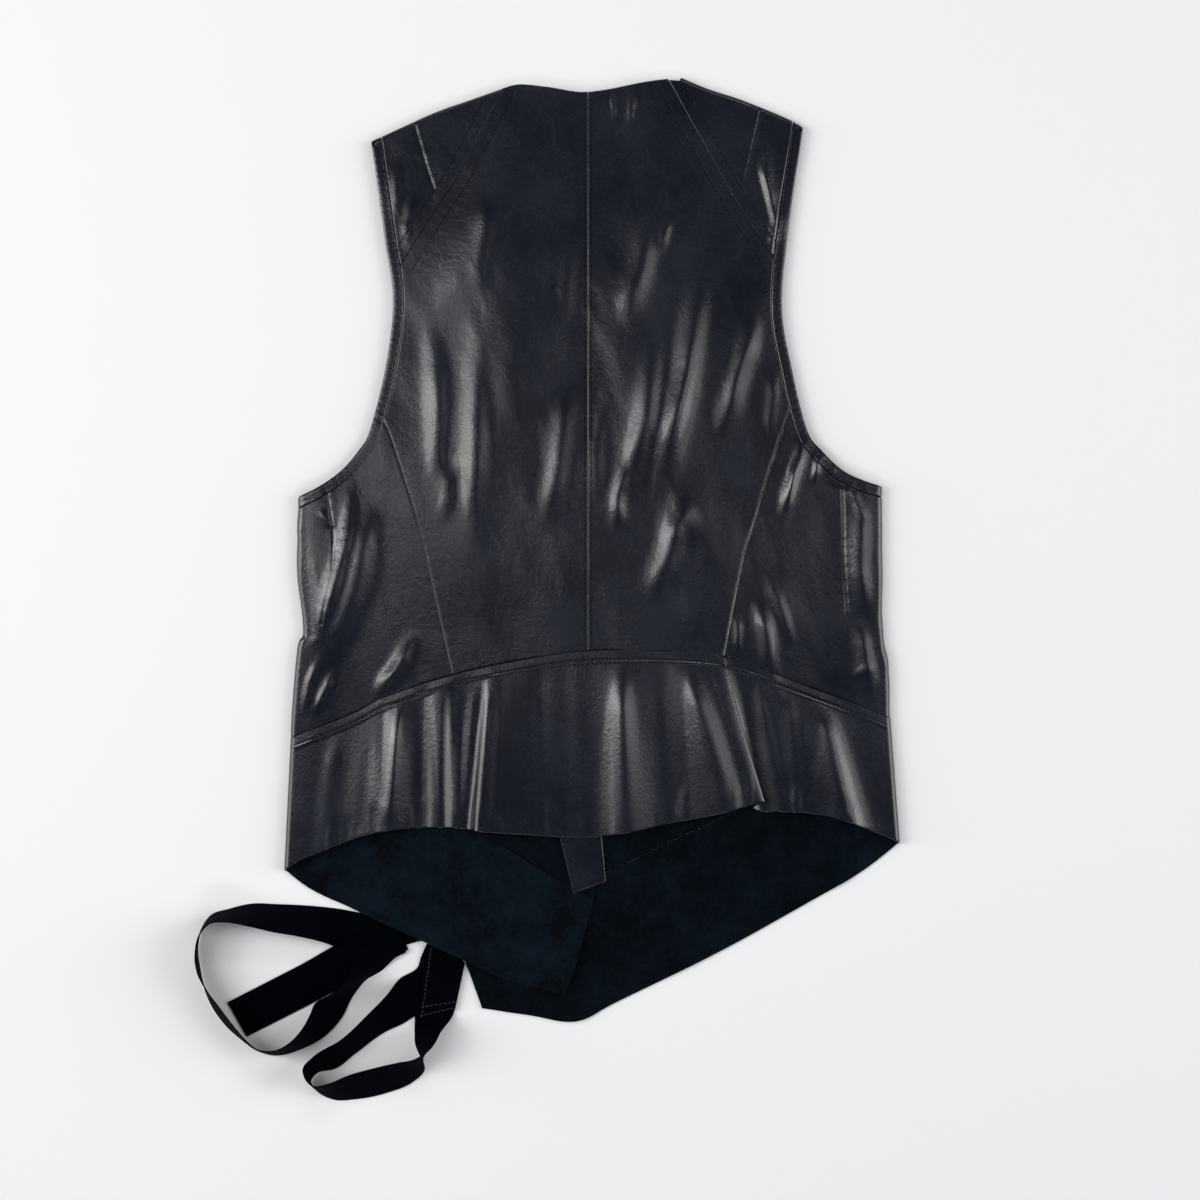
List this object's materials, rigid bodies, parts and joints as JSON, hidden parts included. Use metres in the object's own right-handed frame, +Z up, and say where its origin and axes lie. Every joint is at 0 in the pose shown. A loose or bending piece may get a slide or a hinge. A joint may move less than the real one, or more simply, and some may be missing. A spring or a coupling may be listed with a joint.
{
  "type": "leather wrap vest",
  "caption": "Black leather wrap vest with a flared peplum and a tape tie, laid flat with its back up.",
  "frame": {"origin": "centre of the bounding box, on the surface that the vest lies on", "axes": "+Y from the hem to the neck along the centre back seam, +Z up from the surface, out of the back"},
  "size_m": [0.5348, 0.7778, 0.0304],
  "materials": {
    "leather": "glossy black nappa",
    "suede": "black flesh side with a short nap",
    "twill": "navy-black cotton twill tape"
  },
  "bodies": {
    "root": {"back_left": "leather", "back_right": "leather", "side_left": "leather", "side_right": "leather", "yoke_left": "leather", "yoke_right": "leather", "armhole_band_left": "leather", "armhole_band_right": "leather", "peplum": "leather", "front_left": "leather", "front_right": "leather", "front_peplum_left": "suede", "front_peplum_right": "suede", "front_facing": "leather", "tie": "twill", "tie_tab": "leather"}
  },
  "joints": []
}
